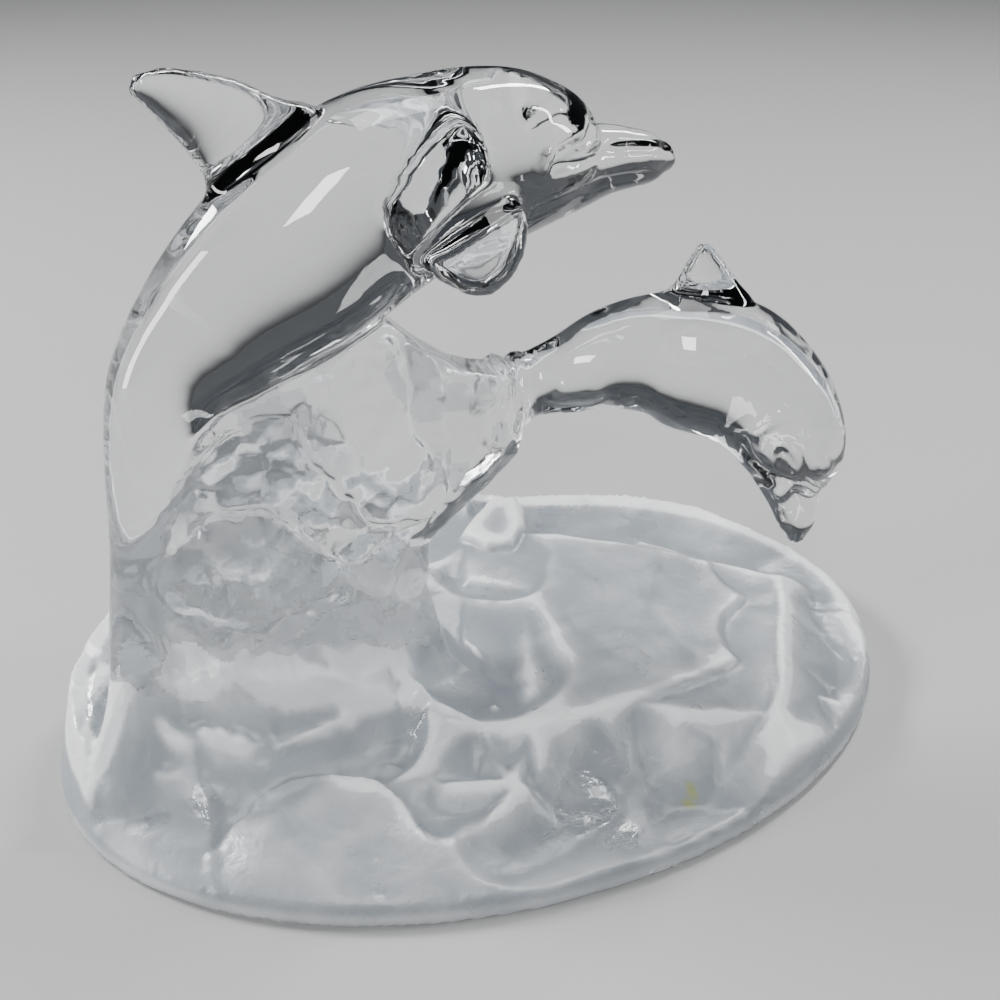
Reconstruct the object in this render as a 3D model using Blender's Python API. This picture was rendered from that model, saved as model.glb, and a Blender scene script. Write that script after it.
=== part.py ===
"""Lead-crystal figurine: an adult dolphin and a calf leap from a rock on an oval base, cast as one piece.

The casting is described by one field, negative inside the glass, and its skin is the figurine's mesh.
"""
import bpy
import numpy as np
import openvdb

# Driving sizes, in metres.
BASE_LENGTH = 0.168
BASE_DEPTH = 0.117
FIGURE_HEIGHT = 0.128
RIM_HEIGHT = 0.0026
TABLE_HEIGHT = 0.0165

# The base's top: how far it takes to bank up from the rim on each side, and how it rises and falls.
BANK_FRONT_LEFT = 0.024
BANK_FRONT_RIGHT = 0.011
BANK_BACK = 0.0025
BANK_LEFT = 0.002
BANK_RIGHT = 0.005
LEFT_RISE = 0.0095
RIGHT_FALL = 0.0055
MOUND_HEIGHT = 0.017
HOLLOW_LIP = 0.0018
LIP_SLOPE = 0.6

# Places on the base as shares of its half length and half depth, +X right and +Y back.
FRONT_BANK_CHANGE = (-0.12, 0.42)
LEFT_RISE_ALONG = (-0.42, -0.83)
LEFT_RISE_ACROSS = (-0.43, 0.26)
RIGHT_FALL_ALONG = (0.67, 1.02)
MOUND_CENTRE = (-0.45, -0.14)
MOUND_REACH = (0.37, 0.39)

# Hollows broken out of the base: place as shares of half length and half depth, how deep as a share of
# the table's height, and the bowl's radius as a share of the base's depth.
BASE_HOLLOWS = [
    (0.43, -0.14, 0.14, 1.28),
    (0.54, 0.44, 0.24, 0.26),
    (0.71, 0.17, 0.27, 0.24),
    (0.29, 0.65, 0.25, 0.27),
    (0.86, -0.24, 0.21, 0.26),
    (0.74, -0.58, 0.35, 0.22),
    (0.52, -0.88, 0.15, 0.22),
    (0.29, -0.85, 0.21, 0.21),
    (0.07, -0.68, 0.34, 0.21),
    (-0.11, -0.92, 0.07, 0.19),
    (-0.30, -0.65, 0.32, 0.17),
    (-0.52, -0.68, 0.38, 0.17),
    (-0.81, -0.58, 0.09, 0.19),
    (-0.83, -0.24, 0.24, 0.26),
    (-0.64, -0.38, 0.27, 0.22),
    (-0.12, -0.34, 0.29, 0.22),
    (-0.07, 0.27, 0.29, 0.26),
    (-0.02, 0.72, 0.23, 0.26),
    (-0.36, 0.72, 0.24, 0.26),
    (-0.64, 0.62, 0.27, 0.26),
    (-0.86, 0.27, 0.36, 0.26),
]

# The rock and the dolphins are drawn in parts of the driving sizes: so many along the base's length,
# across its depth and up the figure's height. Half sizes are in parts of the height.
PARTS_LONG = 168.0
PARTS_DEEP = 117.0
PARTS_HIGH = 129.0

# Rock between the adult's belly and the root of the calf: outline seen from the front (x, z).
ROCK_OUTLINE = [
    (-66, 2),
    (-65, 46),
    (-56, 68),
    (-48, 76),
    (-31, 85),
    (-18, 86),
    (-12, 80),
    (-5, 75),
    (3, 72.5),
    (7, 65),
    (5, 57),
    (-6, 46.5),
    (-12, 41),
    (-13, 32),
    (-6, 2),
]
ROCK_TOP = 86.0
ROCK_FOOT = 24.0
ROCK_HALF_TOP = 7.0
ROCK_HALF_FOOT = 16.5
ROCK_EDGE_HALF = 4.5
ROCK_EDGE_SLOPE = 0.8

# Hollows broken out of the rock: centre x, y, z and radius of the ball taken away.
ROCK_HOLLOWS = [
    (-30, -38, 80, 32),
    (-52, -40, 62, 28),
    (-36, -42, 56, 26),
    (-22, -47, 62, 32),
    (-1, -39, 64, 34),
    (-18, -45, 42, 26),
    (-44, -44, 40, 24),
    (-40, 44, 72, 36),
    (-12, 42, 58, 36),
    (-36, 46, 42, 30),
]

# Dolphins, tail to snout: x, y, z, half depth, half width, heading in degrees from +X to the front.
ADULT_BODY = [
    (-72, -13, 10, 6.0, 6.0, 0),
    (-68, -8, 22, 5.6, 5.6, 0),
    (-66, -3, 36, 4.8, 4.8, 0),
    (-63.3, 0, 50, 5.1, 4.8, 0),
    (-59.8, 0, 65, 7.3, 6.5, 0),
    (-54.8, 0, 79, 10.0, 8.6, 0),
    (-46, 0, 88.2, 13.6, 11.6, 0),
    (-34, 0, 97, 16.7, 14.2, 0),
    (-20, 0, 106, 16.8, 14.8, 0),
    (-8, 0, 109.6, 15.8, 14.0, 0),
    (3, 0, 111.2, 14.4, 12.6, 0),
    (11, 0, 111.2, 11.8, 10.6, 0),
    (16.5, 0, 110.8, 8.4, 7.8, 0),
    (19.5, 0, 110.4, 4.0, 4.0, 0),
]
ADULT_BEAK = [
    (4, 0, 105.6, 8.4, 8.4, 0),
    (13, 0, 107, 7.2, 7.2, 0),
    (21, 0, 108.6, 6.2, 5.7, 0),
    (27, 0, 108.4, 5.1, 4.8, 0),
    (31, 0, 108.1, 4.2, 3.9, 0),
    (33, 0, 108, 2.7, 2.6, 0),
]
ADULT_FIN = [
    (-36.5, 0, 115, 11.0, 4.4, 0),
    (-39.5, 0, 118.2, 8.2, 3.3, 0),
    (-42.5, 0, 121, 7.0, 2.7, 0),
    (-46.2, 0, 123.6, 5.4, 2.3, 0),
    (-50, 0, 125.8, 3.8, 1.9, 0),
    (-53, 0, 126.8, 2.1, 1.5, 0),
]
ADULT_FLIPPER = [
    (-8, -9, 105.4, 9.0, 4.0),
    (-7.5, -13.5, 103.4, 9.2, 3.0),
    (-7.5, -17.5, 101, 8.0, 2.5),
    (-8, -20.5, 98.8, 5.8, 2.0),
    (-8.5, -22, 97.6, 3.4, 1.4),
]
FLIPPER_CHORD = (0.87, 0.0, 0.5)
CALF_BODY = [
    (-8, 0, 64, 6.5, 6.0, 0),
    (6, 0, 68, 5.8, 5.4, 0),
    (16, -1, 70, 7.6, 6.8, 8),
    (24, -2, 72, 9.7, 8.6, 16),
    (31, -5, 73, 11.4, 10.0, 24),
    (37, -8, 72, 13.1, 11.2, 32),
    (44, -11, 70, 13.6, 11.6, 41),
    (49, -15, 66, 12.4, 11.2, 50),
    (52, -18, 61, 11.2, 10.4, 58),
    (54, -20, 55.5, 9.6, 9.0, 64),
    (54.6, -21, 51, 6.4, 6.6, 68),
    (54.8, -21, 49, 3.4, 3.8, 70),
]
CALF_BEAK = [
    (50.6, -19, 57, 7.0, 7.2, 60),
    (53, -20.5, 50.5, 5.9, 5.7, 66),
    (54.3, -21.3, 45.5, 4.7, 4.5, 70),
    (55, -21.8, 41, 3.4, 3.3, 70),
    (55.2, -22, 38.6, 1.8, 1.8, 70),
]
CALF_FIN = [
    (39.5, -8, 84, 7.6, 3.6, 30),
    (39.2, -7.8, 87.4, 5.2, 2.7, 30),
    (38.8, -7.7, 90.6, 3.4, 2.1, 30),
    (38.6, -7.6, 92.6, 1.9, 1.5, 30),
]

# Fillets where the forms melt into one another, in metres.
FILLET_BASE = 0.004
FILLET_BELLY = 0.0022
FILLET_BEAK = 0.001
FILLET_FIN = 0.0025
FILLET_FLIPPER = 0.0016
FILLET_CALF = 0.003

# The skin: lattice cell, the margin round the figure, how slanting faces count as distance, the rows
# drawn between two given rows and the spacing along a swept form, and the triangles kept.
CELL = 0.0011
MARGIN = 0.004
SLANT = 0.8
SPAN_ROWS = 24
SAMPLE_STEP = 0.0009
SWEEP_REACH = 0.006
LEAST_HALF = 0.0003
TRIANGLES = 9400

CRYSTAL_COLOR = (0.93, 0.95, 0.96, 1.0)
CRYSTAL_ROUGHNESS = 0.06
CRYSTAL_IOR = 1.55


def ease(value, span):
    """0 before the span, 1 after it, smooth between."""
    share = np.clip((value - span[0]) / (span[1] - span[0]), 0, 1)
    return share * share * (3 - 2 * share)


def melt(first, second, fillet):
    """Join two fields with a rounded seam."""
    share = np.clip(0.5 + 0.5 * (second - first) / fillet, 0, 1)
    return second + (first - second) * share - fillet * share * (1 - share)


def unit(rows):
    return rows / np.linalg.norm(rows, axis=1)[:, None]


def edge_distance(x, y):
    """How far inside the oval a place is, measured towards the centre."""
    reach = np.maximum(np.hypot(x / (BASE_LENGTH / 2), y / (BASE_DEPTH / 2)), 1e-3)
    return np.hypot(x, y) * (1 / reach - 1)


def ground(x, y):
    """Height of the base's top before the hollows are broken out."""
    along = x / (BASE_LENGTH / 2)
    across = y / (BASE_DEPTH / 2)
    reach = np.maximum(np.hypot(along, across), 1e-3)
    front_bank = BANK_FRONT_LEFT + (BANK_FRONT_RIGHT - BANK_FRONT_LEFT) * ease(along, FRONT_BANK_CHANGE)
    bank = front_bank * np.clip(-across / reach, 0, 1) ** 2
    bank = bank + BANK_BACK * np.clip(across / reach, 0, 1) ** 2
    bank = bank + BANK_LEFT * np.clip(-along / reach, 0, 1) ** 2
    bank = bank + BANK_RIGHT * np.clip(along / reach, 0, 1) ** 2
    mound_along = (along - MOUND_CENTRE[0]) / MOUND_REACH[0]
    mound_across = (across - MOUND_CENTRE[1]) / MOUND_REACH[1]
    from_mound = np.hypot(mound_along, mound_across)
    rise = LEFT_RISE * ease(along, LEFT_RISE_ALONG) * ease(across, LEFT_RISE_ACROSS)
    table = TABLE_HEIGHT + rise - RIGHT_FALL * ease(along, RIGHT_FALL_ALONG)
    table = table + MOUND_HEIGHT * np.exp(-from_mound ** 2)
    return RIM_HEIGHT + (table - RIM_HEIGHT) * np.sqrt(np.clip(edge_distance(x, y) / bank, 0, 1))


def base_field(x, y, z):
    """Oval foot with a low rim, banked up to a top of shallow hollows with ridges between them."""
    edge = edge_distance(x, y)
    top = ground(x, y)
    lip = RIM_HEIGHT + np.clip(LIP_SLOPE * edge, 0, HOLLOW_LIP)
    for along, across, depth, radius in BASE_HOLLOWS:
        hollow_x = along * BASE_LENGTH / 2
        hollow_y = across * BASE_DEPTH / 2
        lowest = ground(hollow_x, hollow_y) - depth * TABLE_HEIGHT
        bowl = lowest + ((x - hollow_x) ** 2 + (y - hollow_y) ** 2) / (2 * radius * BASE_DEPTH)
        top = np.minimum(top, np.maximum(bowl, lip))
    return np.maximum((z - top) * SLANT, -edge)


def outline_field(x, z, corners):
    """Signed distance to a closed outline in a plane."""
    best = np.full(x.shape, np.inf)
    inside = np.zeros(x.shape, bool)
    for (ax, az), (bx, bz) in zip(corners, corners[1:] + corners[:1]):
        ex, ez = bx - ax, bz - az
        share = np.clip(((x - ax) * ex + (z - az) * ez) / (ex * ex + ez * ez), 0, 1)
        best = np.minimum(best, np.hypot(x - ax - share * ex, z - az - share * ez))
        if az != bz:
            inside ^= ((az > z) != (bz > z)) & (x < ax + (z - az) * ex / (bz - az))
    return np.where(inside, -best, best)


def rock_field(x, y, z):
    """Wedge of rock, thin at the top and at its edges, with hollows broken from its faces."""
    x, y, z = x * PARTS_LONG / BASE_LENGTH, y * PARTS_DEEP / BASE_DEPTH, z * PARTS_HIGH / FIGURE_HEIGHT
    outline = outline_field(x, z, ROCK_OUTLINE)
    half = np.interp(z, (ROCK_FOOT, ROCK_TOP), (ROCK_HALF_FOOT, ROCK_HALF_TOP))
    half = np.minimum(half, ROCK_EDGE_HALF - ROCK_EDGE_SLOPE * outline)
    body = np.maximum(outline, (np.abs(y) - half) * SLANT)
    for hollow_x, hollow_y, hollow_z, radius in ROCK_HOLLOWS:
        ball = np.sqrt((x - hollow_x) ** 2 + (y - hollow_y) ** 2 + (z - hollow_z) ** 2)
        body = np.maximum(body, radius - ball)
    return body * FIGURE_HEIGHT / PARTS_HIGH


def smooth_path(rows):
    """Closely and evenly spaced rows on a smooth curve through the given rows."""
    ends = np.vstack([2 * rows[0] - rows[1], rows, 2 * rows[-1] - rows[-2]])
    share = np.linspace(0, 1, SPAN_ROWS, endpoint=False)[:, None]
    spans = []
    for a, b, c, d in zip(ends, ends[1:], ends[2:], ends[3:]):
        bend = (2 * a - 5 * b + 4 * c - d) * share ** 2 + (3 * b - a - 3 * c + d) * share ** 3
        spans.append(0.5 * (2 * b + (c - a) * share + bend))
    dense = np.vstack(spans + [rows[-1:]])
    steps = np.linalg.norm(np.diff(dense[:, :3], axis=0), axis=1)
    travelled = np.concatenate([[0], np.cumsum(steps)])
    even = np.linspace(0, travelled[-1], int(travelled[-1] / SAMPLE_STEP) + 2)
    return np.stack([np.interp(even, travelled, column) for column in dense.T], 1)


def make_sweep(rows, mirror=1, side=None):
    """Centres, frames and half sizes of a form swept along its rows, in metres."""
    high = FIGURE_HEIGHT / PARTS_HIGH
    rows = np.array(rows, float)
    rows[:, :5] *= (BASE_LENGTH / PARTS_LONG, mirror * BASE_DEPTH / PARTS_DEEP, high, high, high)
    path = smooth_path(rows)
    centre = path[:, :3]
    run = np.gradient(centre, axis=0)
    tangent = unit(run)
    if side is None:
        heading = np.radians(path[:, 5])
        side = np.stack([np.sin(heading), np.cos(heading), 0 * heading], 1)
    else:
        side = np.tile(side, (len(path), 1))
    side = unit(side - (side * tangent).sum(1)[:, None] * tangent)
    slope = np.gradient(path[:, 3:5], axis=0) / np.linalg.norm(run, axis=1)[:, None]
    return centre, tangent, side, np.cross(tangent, side), path[:, 3:5], slope


def sweep_field(points, sweep):
    """Signed distance, near enough, from points to a swept form of elliptical section."""
    centre, tangent, side, up, half, slope = sweep
    nearest = np.zeros(len(points), int)
    best = np.full(len(points), np.inf)
    for i, c in enumerate(centre):
        gap = ((points - c) ** 2).sum(1)
        closer = gap < best
        best[closer] = gap[closer]
        nearest[closer] = i
    out = points - centre[nearest]
    run = (out * tangent[nearest]).sum(1)
    inner = np.clip(run, -SAMPLE_STEP, SAMPLE_STEP)
    depth = np.maximum(half[nearest, 0] + slope[nearest, 0] * inner, LEAST_HALF)
    width = np.maximum(half[nearest, 1] + slope[nearest, 1] * inner, LEAST_HALF)
    high = (out * up[nearest]).sum(1) / depth
    across = (out * side[nearest]).sum(1) / width
    past = (run - inner) / np.minimum(depth, width)
    ring = np.sqrt(high ** 2 + across ** 2 + past ** 2)
    steep = np.sqrt((high / depth) ** 2 + (across / width) ** 2 + (past / np.minimum(depth, width)) ** 2)
    return ring * (ring - 1) / np.maximum(steep, 1e-6)


def figure_field():
    """The whole casting as one field on a regular lattice, with the lattice's lowest corner."""
    low = np.array([-BASE_LENGTH / 2, -BASE_DEPTH / 2, 0]) - MARGIN
    high = np.array([BASE_LENGTH / 2, BASE_DEPTH / 2, FIGURE_HEIGHT]) + MARGIN
    axes = [np.arange(a, b, CELL) for a, b in zip(low, high)]
    x, y, z = np.meshgrid(*axes, indexing="ij")
    solid = melt(base_field(x, y, z), rock_field(x, y, z), FILLET_BASE)

    def add(sweep, fillet):
        reach = sweep[4].max() + SWEEP_REACH
        first = sweep[0].min(0) - reach
        last = sweep[0].max(0) + reach
        box = tuple(slice(*np.searchsorted(axis, (a, b))) for axis, a, b in zip(axes, first, last))
        points = np.stack([x[box].ravel(), y[box].ravel(), z[box].ravel()], 1)
        solid[box] = melt(solid[box], sweep_field(points, sweep).reshape(x[box].shape), fillet)

    add(make_sweep(ADULT_BODY), FILLET_BELLY)
    add(make_sweep(ADULT_BEAK), FILLET_BEAK)
    add(make_sweep(ADULT_FIN), FILLET_FIN)
    stem = np.subtract(ADULT_FLIPPER[-1][:3], ADULT_FLIPPER[0][:3])
    face = np.cross(stem, FLIPPER_CHORD)
    for mirror in (1, -1):
        add(make_sweep(ADULT_FLIPPER, mirror, face * (1, mirror, 1)), FILLET_FLIPPER)
    add(make_sweep(CALF_BODY), FILLET_CALF)
    add(make_sweep(CALF_BEAK), FILLET_BEAK)
    add(make_sweep(CALF_FIN), FILLET_FIN)
    return np.maximum(solid, -z), low


def skin_mesh(name):
    """Closed mesh on the field's zero surface."""
    field, low = figure_field()
    grid = openvdb.FloatGrid(3 * CELL)
    grid.copyFromArray(np.clip(field, -3 * CELL, 3 * CELL).astype(np.float32))
    points, triangles, quads = grid.convertToPolygons(isovalue=0.0, adaptivity=0.0)
    points = points * CELL + low
    points[:, 2] = np.maximum(points[:, 2], 0)
    mesh = bpy.data.meshes.new(name)
    mesh.from_pydata(points.tolist(), [], triangles.tolist() + quads.tolist())
    mesh.validate()
    mesh.shade_smooth()
    return mesh


def crystal():
    """Clear lead crystal."""
    material = bpy.data.materials.new("crystal")
    material.use_nodes = True
    shader = material.node_tree.nodes["Principled BSDF"]
    shader.inputs["Base Color"].default_value = CRYSTAL_COLOR
    shader.inputs["Roughness"].default_value = CRYSTAL_ROUGHNESS
    shader.inputs["IOR"].default_value = CRYSTAL_IOR
    shader.inputs["Metallic"].default_value = 0.0
    shader.inputs["Transmission Weight"].default_value = 1.0
    return material


def build():
    for item in list(bpy.data.objects):
        bpy.data.objects.remove(item)
    mesh = skin_mesh("dolphin_figurine")
    mesh.materials.append(crystal())
    figurine = bpy.data.objects.new("dolphin_figurine", mesh)
    bpy.context.collection.objects.link(figurine)
    thin = figurine.modifiers.new("thin", "DECIMATE")
    thin.ratio = TRIANGLES / sum(len(face.vertices) - 2 for face in mesh.polygons)


build()
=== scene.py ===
"""Lead-crystal figurine: an adult dolphin and a calf leap from a rock on an oval base, cast as one piece.

The casting is described by one field in millimetres, negative inside the glass. Its skin is the visible
piece. The dolphins' skin is polished, and grooves and bulges are pressed into it.
"""

import math

import bpy
import numpy as np
import openvdb
from mathutils import Matrix, Vector


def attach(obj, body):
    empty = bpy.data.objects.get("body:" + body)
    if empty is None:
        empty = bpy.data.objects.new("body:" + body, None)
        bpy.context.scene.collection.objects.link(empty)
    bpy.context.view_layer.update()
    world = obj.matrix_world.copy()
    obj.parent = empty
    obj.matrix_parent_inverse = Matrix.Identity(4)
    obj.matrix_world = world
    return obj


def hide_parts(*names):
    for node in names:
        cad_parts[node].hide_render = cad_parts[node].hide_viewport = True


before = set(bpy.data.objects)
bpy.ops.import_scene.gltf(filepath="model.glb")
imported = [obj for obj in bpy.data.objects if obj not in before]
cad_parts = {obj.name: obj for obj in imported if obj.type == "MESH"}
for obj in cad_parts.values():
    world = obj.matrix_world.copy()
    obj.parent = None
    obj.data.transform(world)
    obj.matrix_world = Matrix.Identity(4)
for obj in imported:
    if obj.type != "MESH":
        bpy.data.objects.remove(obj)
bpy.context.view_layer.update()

MILLIMETRE = 0.001
PER_METRE = 1000

# Sizes in millimetres. The rock and the dolphins are drawn in parts of the height, 129 to the whole.
BASE_LENGTH = 168.0
BASE_DEPTH = 117.0
FIGURE_HEIGHT = 127.9
PARTS_HIGH = 129.0
RIM_HEIGHT = 2.6
TABLE_HEIGHT = 16.5

BANK_FRONT_LEFT = 24.0
BANK_FRONT_RIGHT = 11.0
BANK_BACK = 2.5
BANK_LEFT = 2.0
BANK_RIGHT = 5.0
LEFT_RISE = 9.5
RIGHT_FALL = 5.5
MOUND_HEIGHT = 17.0
HOLLOW_LIP = 1.8
LIP_SLOPE = 0.6
RIM_CLIMB = 4.0

# Places on the base as shares of its half length and half depth, +X right and +Y back.
FRONT_BANK_CHANGE = (-0.12, 0.42)
LEFT_RISE_ALONG = (-0.42, -0.83)
LEFT_RISE_ACROSS = (-0.43, 0.26)
RIGHT_FALL_ALONG = (0.67, 1.02)
MOUND_CENTRE = (-0.45, -0.10)
MOUND_REACH = (0.37, 0.34)

# The swelling at the front left: how high it stands above the rim, how far in it reaches, and how
# steeply the base climbs to the mound behind it.
SWELL_HEIGHT = 10.5
SWELL_REACH = 24.0
SWELL_CLIMB = 1.3
SWELL_ALONG = (0.02, -0.14)
SWELL_ACROSS = (-0.10, -0.32)

# Hollows in the base's top: the line each follows as x, y and its lowest height, and the bowl's radius.
BASE_HOLLOWS = [
    ([(28, 44, 11.0), (50, 32, 10.5), (72, 14, 9.5)], 24),
    ([(-2, 42, 12.7)], 30),
    ([(-30, 42, 12.6)], 30),
    ([(-54, 36, 17.3)], 30),
    ([(-72, 16, 20.0)], 30),
    ([(-72, -10, 18.0)], 26),
    ([(8, 18, 12.5), (12, 24, 13.0)], 16),
    ([(-5, -14, 12.2), (-3, 2, 12.8)], 24),
    ([(78, -2, 9.0)], 45),
    ([(66, -28, 6.5)], 30),
    ([(14, -54, 4.2), (46, -46, 4.8)], 17),
    ([(-12, -56, 4.2), (8, -54, 4.4)], 18),
    ([(-22, -42, 8.0), (-16, -39, 7.8), (-12, -41, 8.5)], 8),
    ([(-50, -16, 13.0), (-40, -16, 12.0), (-32, -24, 10.5)], 10),
    ([(20, -48, 5.4), (24, -45, 7.0)], 6),
]

# Flat-topped forms on the base: outline, height of the top and slope of the sides.
BASE_TABLES = [
    ([(10, 4), (23, 8), (44, 19), (53, 8), (66, -4), (58, -17), (41, -42), (24, -36), (9, -25), (1, -22),
      (5, -9)], 15.6, 0.75),
    ([(18, 45), (24, 44), (21, 33), (16, 27), (11, 28), (8, 34)], 18.0, 2.0),
    ([(3, 19), (12, 11), (20, 9), (24, 12), (22, 32), (8, 32)], 15.8, 1.0),
]
# How deep a table is dished, and how far in from its edge it is level again.
TABLE_DISH = 0.9
DISH_SPAN = (0, 14)

# Ridges on the base: the line of the crest as x, y and height, and the slope of the sides.
BASE_RIDGES = [
    ([(10, 4, 16.4), (23, 9, 16.8), (30, 12, 16.4), (44, 19, 15.6)], 0.8),
    ([(2, -21, 16.4), (-4, -31, 14.2), (-10, -39, 12.2)], 1.0),
    ([(-10, -39, 12.2), (-13, -30, 13.4), (-17, -22, 15.5)], 1.0),
    ([(-10, -39, 12.2), (-7, -30, 13.8), (-6, -22, 15.0)], 1.2),
    ([(-10, -39, 12.2), (-22, -34, 12.6), (-29, -27, 13.6)], 0.9),
    ([(-9, -40, 12.0), (-18, -46, 8.8), (-28, -47, 8.0), (-36, -44, 8.8)], 0.7),
    ([(-64, -8, 29.0), (-55, -12, 31.0), (-48, -14.5, 30.5), (-41, -16, 28.5), (-34, -17, 26.5),
      (-27, -16, 24.0), (-21, -13, 22.0)], 1.5),
    ([(-23, -15, 23.0), (-18, -21, 19.0), (-12, -27, 17.0)], 1.0),
    ([(-69, -8, 30.0), (-76, -12, 18.0), (-80, -14, 8.0)], 1.6),
]

# Steps in the base's top, the right-hand side of each line being the lower: x, y and drop, and the reach
# over which the surface comes back up.
BASE_STEPS = [
    ([(-28, -43, 0), (-30, -37, 1.6), (-33, -32, 2.4), (-39, -26, 2.8), (-46, -24.5, 3.0), (-53, -25, 2.8),
      (-57, -27, 2.4), (-61, -32, 1.6), (-62, -42, 0)], 9),
    ([(-60, -44, 0), (-62, -36, 1.4), (-60, -24, 1.8), (-63, -12, 1.2), (-66, -6, 0)], 9),
    ([(-66, -9, 0), (-60, -12, 2.0), (-54, -15.5, 2.6), (-48, -17, 2.6), (-41, -18.5, 2.4), (-34, -19, 2.0),
      (-27, -18, 1.6), (-21, -15, 0)], 5),
    ([(-67, -13, 0), (-60, -15.5, 1.6), (-54, -19, 2.0), (-48, -20.5, 2.2), (-41, -21.5, 2.0),
      (-34, -23, 1.8), (-27, -24, 1.2), (-20, -22, 0)], 4),
    ([(-69, -18, 0), (-62, -18, 1.4), (-57, -20.5, 1.6), (-53, -22, 1.6), (-47, -23, 1.4),
      (-42, -23, 0)], 4),
    ([(24, -38, 0), (31, -43, 1.2), (27, -50, 1.5), (20, -54, 1.2), (12, -57, 0)], 9),
    ([(4, -34, 0), (9, -44, 1.3), (8, -47, 1.6), (4, -50, 1.5), (-4, -54, 0)], 9),
    ([(46, -34, 0), (41, -43, 1.3), (34, -48, 0.8), (26, -50, 0)], 7),
    ([(66, -4, 0.4), (60, -13, 1.6), (52, -27, 1.6), (43, -41, 1.0), (41, -47, 0)], 14),
    ([(60, -14, 0), (68, -18, 1.3), (72, -26, 1.2), (66, -36, 0)], 10),
    ([(62, -10, 0), (70, -8, 1.2), (78, -12, 1.2), (82, -16, 0.6)], 10),
    ([(54, -28, 0), (61, -33, 1.2), (60, -40, 0.8)], 10),
    ([(40, 2, 0), (33, -8, 0.5), (34, -20, 0.6), (38, -32, 0)], 8),
    ([(22, 6, 0), (17, -4, 0.4), (20, -16, 0.5), (26, -26, 0)], 8),
    ([(2, 14, 0), (-4, 2, 1.2), (-1, -10, 1.4), (4, -20, 0)], 8),
    ([(10, 40, 0), (12, 46, 1.2), (16, 50, 0)], 8),
    ([(-78, 30, 0), (-74, 14, 1.6), (-76, -4, 1.4), (-80, -14, 0)], 9),
    ([(-74, 20, 0), (-68, 30, 1.5), (-60, 40, 1.4), (-48, 47, 0)], 12),
    ([(-40, 50, 0), (-34, 36, 1.6), (-24, 30, 1.8), (-14, 34, 1.2), (-10, 44, 0)], 12),
    ([(-64, 12, 0), (-56, 22, 1.6), (-46, 27, 1.8), (-36, 26, 0)], 10),
]
# Where beside its line a step falls, and the drop below which a step is no ledge for the pits, which
# then counts as so much farther away.
STEP_SPAN = (-0.2, 1.1)
LOW_DROP = 0.5
LOW_DROP_AWAY = 3.0

# Fine flutes between the mound and the swelling.
FLUTED = [(-63, -5), (-47, -8), (-35, -13), (-42, -22), (-53, -22), (-66, -16)]
FLUTE_HEIGHT = 0.35
FLUTE_PITCH = 2.6
FLUTE_LEAN = 0.35
FLUTE_SPAN = (0, 3)

# Terraces down the front of the mound.
TERRACED = [(-68, -6), (-58, -7), (-44, -10), (-24, -9), (-16, -20), (-26, -26), (-38, -24), (-54, -23),
            (-68, -18)]
TERRACE_HEIGHT = 1.25
TERRACE_PITCH = 6.3
TERRACE_SPAN = (-1, 3)

# Rock between the adult's belly and the root of the calf: outline seen from the front (x, z).
ROCK_OUTLINE = [
    (-66, 2),
    (-65, 46),
    (-56, 68),
    (-48, 76),
    (-31, 85),
    (-18, 86),
    (-12, 80),
    (-5, 75),
    (3, 72.5),
    (7, 65),
    (5, 57),
    (-6, 46.5),
    (-12, 41),
    (-13, 32),
    (-6, 2),
]
ROCK_TOP = 86.0
ROCK_FOOT = 24.0
ROCK_HALF_TOP = 7.0
ROCK_HALF_FOOT = 16.5
ROCK_EDGE_HALF = 4.5
ROCK_EDGE_SLOPE = 0.8

# Ledges across the rock's front, the right-hand side of each line being set back: x, z and depth, and the
# reach over which the face comes forward again.
FRONT_STEPS = [
    ([(-60, 58, 0), (-55, 65, 1.6), (-51, 69, 2.2), (-47, 72, 2.6), (-43, 74, 2.8), (-37, 72, 2.8),
      (-35, 67, 2.6), (-32, 64, 2.4), (-29, 60, 2.2), (-26, 53, 2.0), (-20, 50, 1.8), (-14, 50, 1.2),
      (-6, 58, 0)], 13),
    ([(-60, 50, 0), (-54, 57, 1.6), (-50, 59, 2.2), (-42, 58, 2.4), (-38, 54, 2.2), (-34, 49, 2.0),
      (-30, 45, 1.8), (-24, 46, 1.8), (-16, 49, 1.5), (-8, 56, 0.8), (-2, 64, 0)], 12),
    ([(-28, 82, 0), (-32, 78, 1.2), (-34, 68, 1.4), (-33, 60, 0)], 10),
    ([(-14, 52, 0), (-14, 60, 2.0), (-17, 66, 1.8), (-16, 74, 2.0), (-19, 84, 0.6)], 6),
    ([(-12, 50, 0.6), (-11, 58, 1.8), (-10, 68, 2.0), (-9, 78, 0.8)], 5),
    ([(4, 66, 0), (-1, 58, 1.8), (-8, 54, 1.6), (-12, 50, 0.6)], 6),
    ([(-9, 64, 0), (-4, 68, 1.6), (2, 72, 1.2)], 6),
    ([(-58, 46, 0), (-52, 49, 1.6), (-48, 46, 1.4), (-46, 40, 0)], 8),
    ([(-30, 44, 0), (-30, 38, 1.2), (-36, 34, 1.0), (-44, 34, 0)], 9),
    ([(-62, 40, 0), (-56, 42, 1.2), (-50, 39, 1.4), (-47, 35, 0)], 6),
    ([(-22, 74, 0), (-27, 70, 0.6), (-24, 62, 0.7), (-19, 58, 0)], 7),
]
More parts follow.
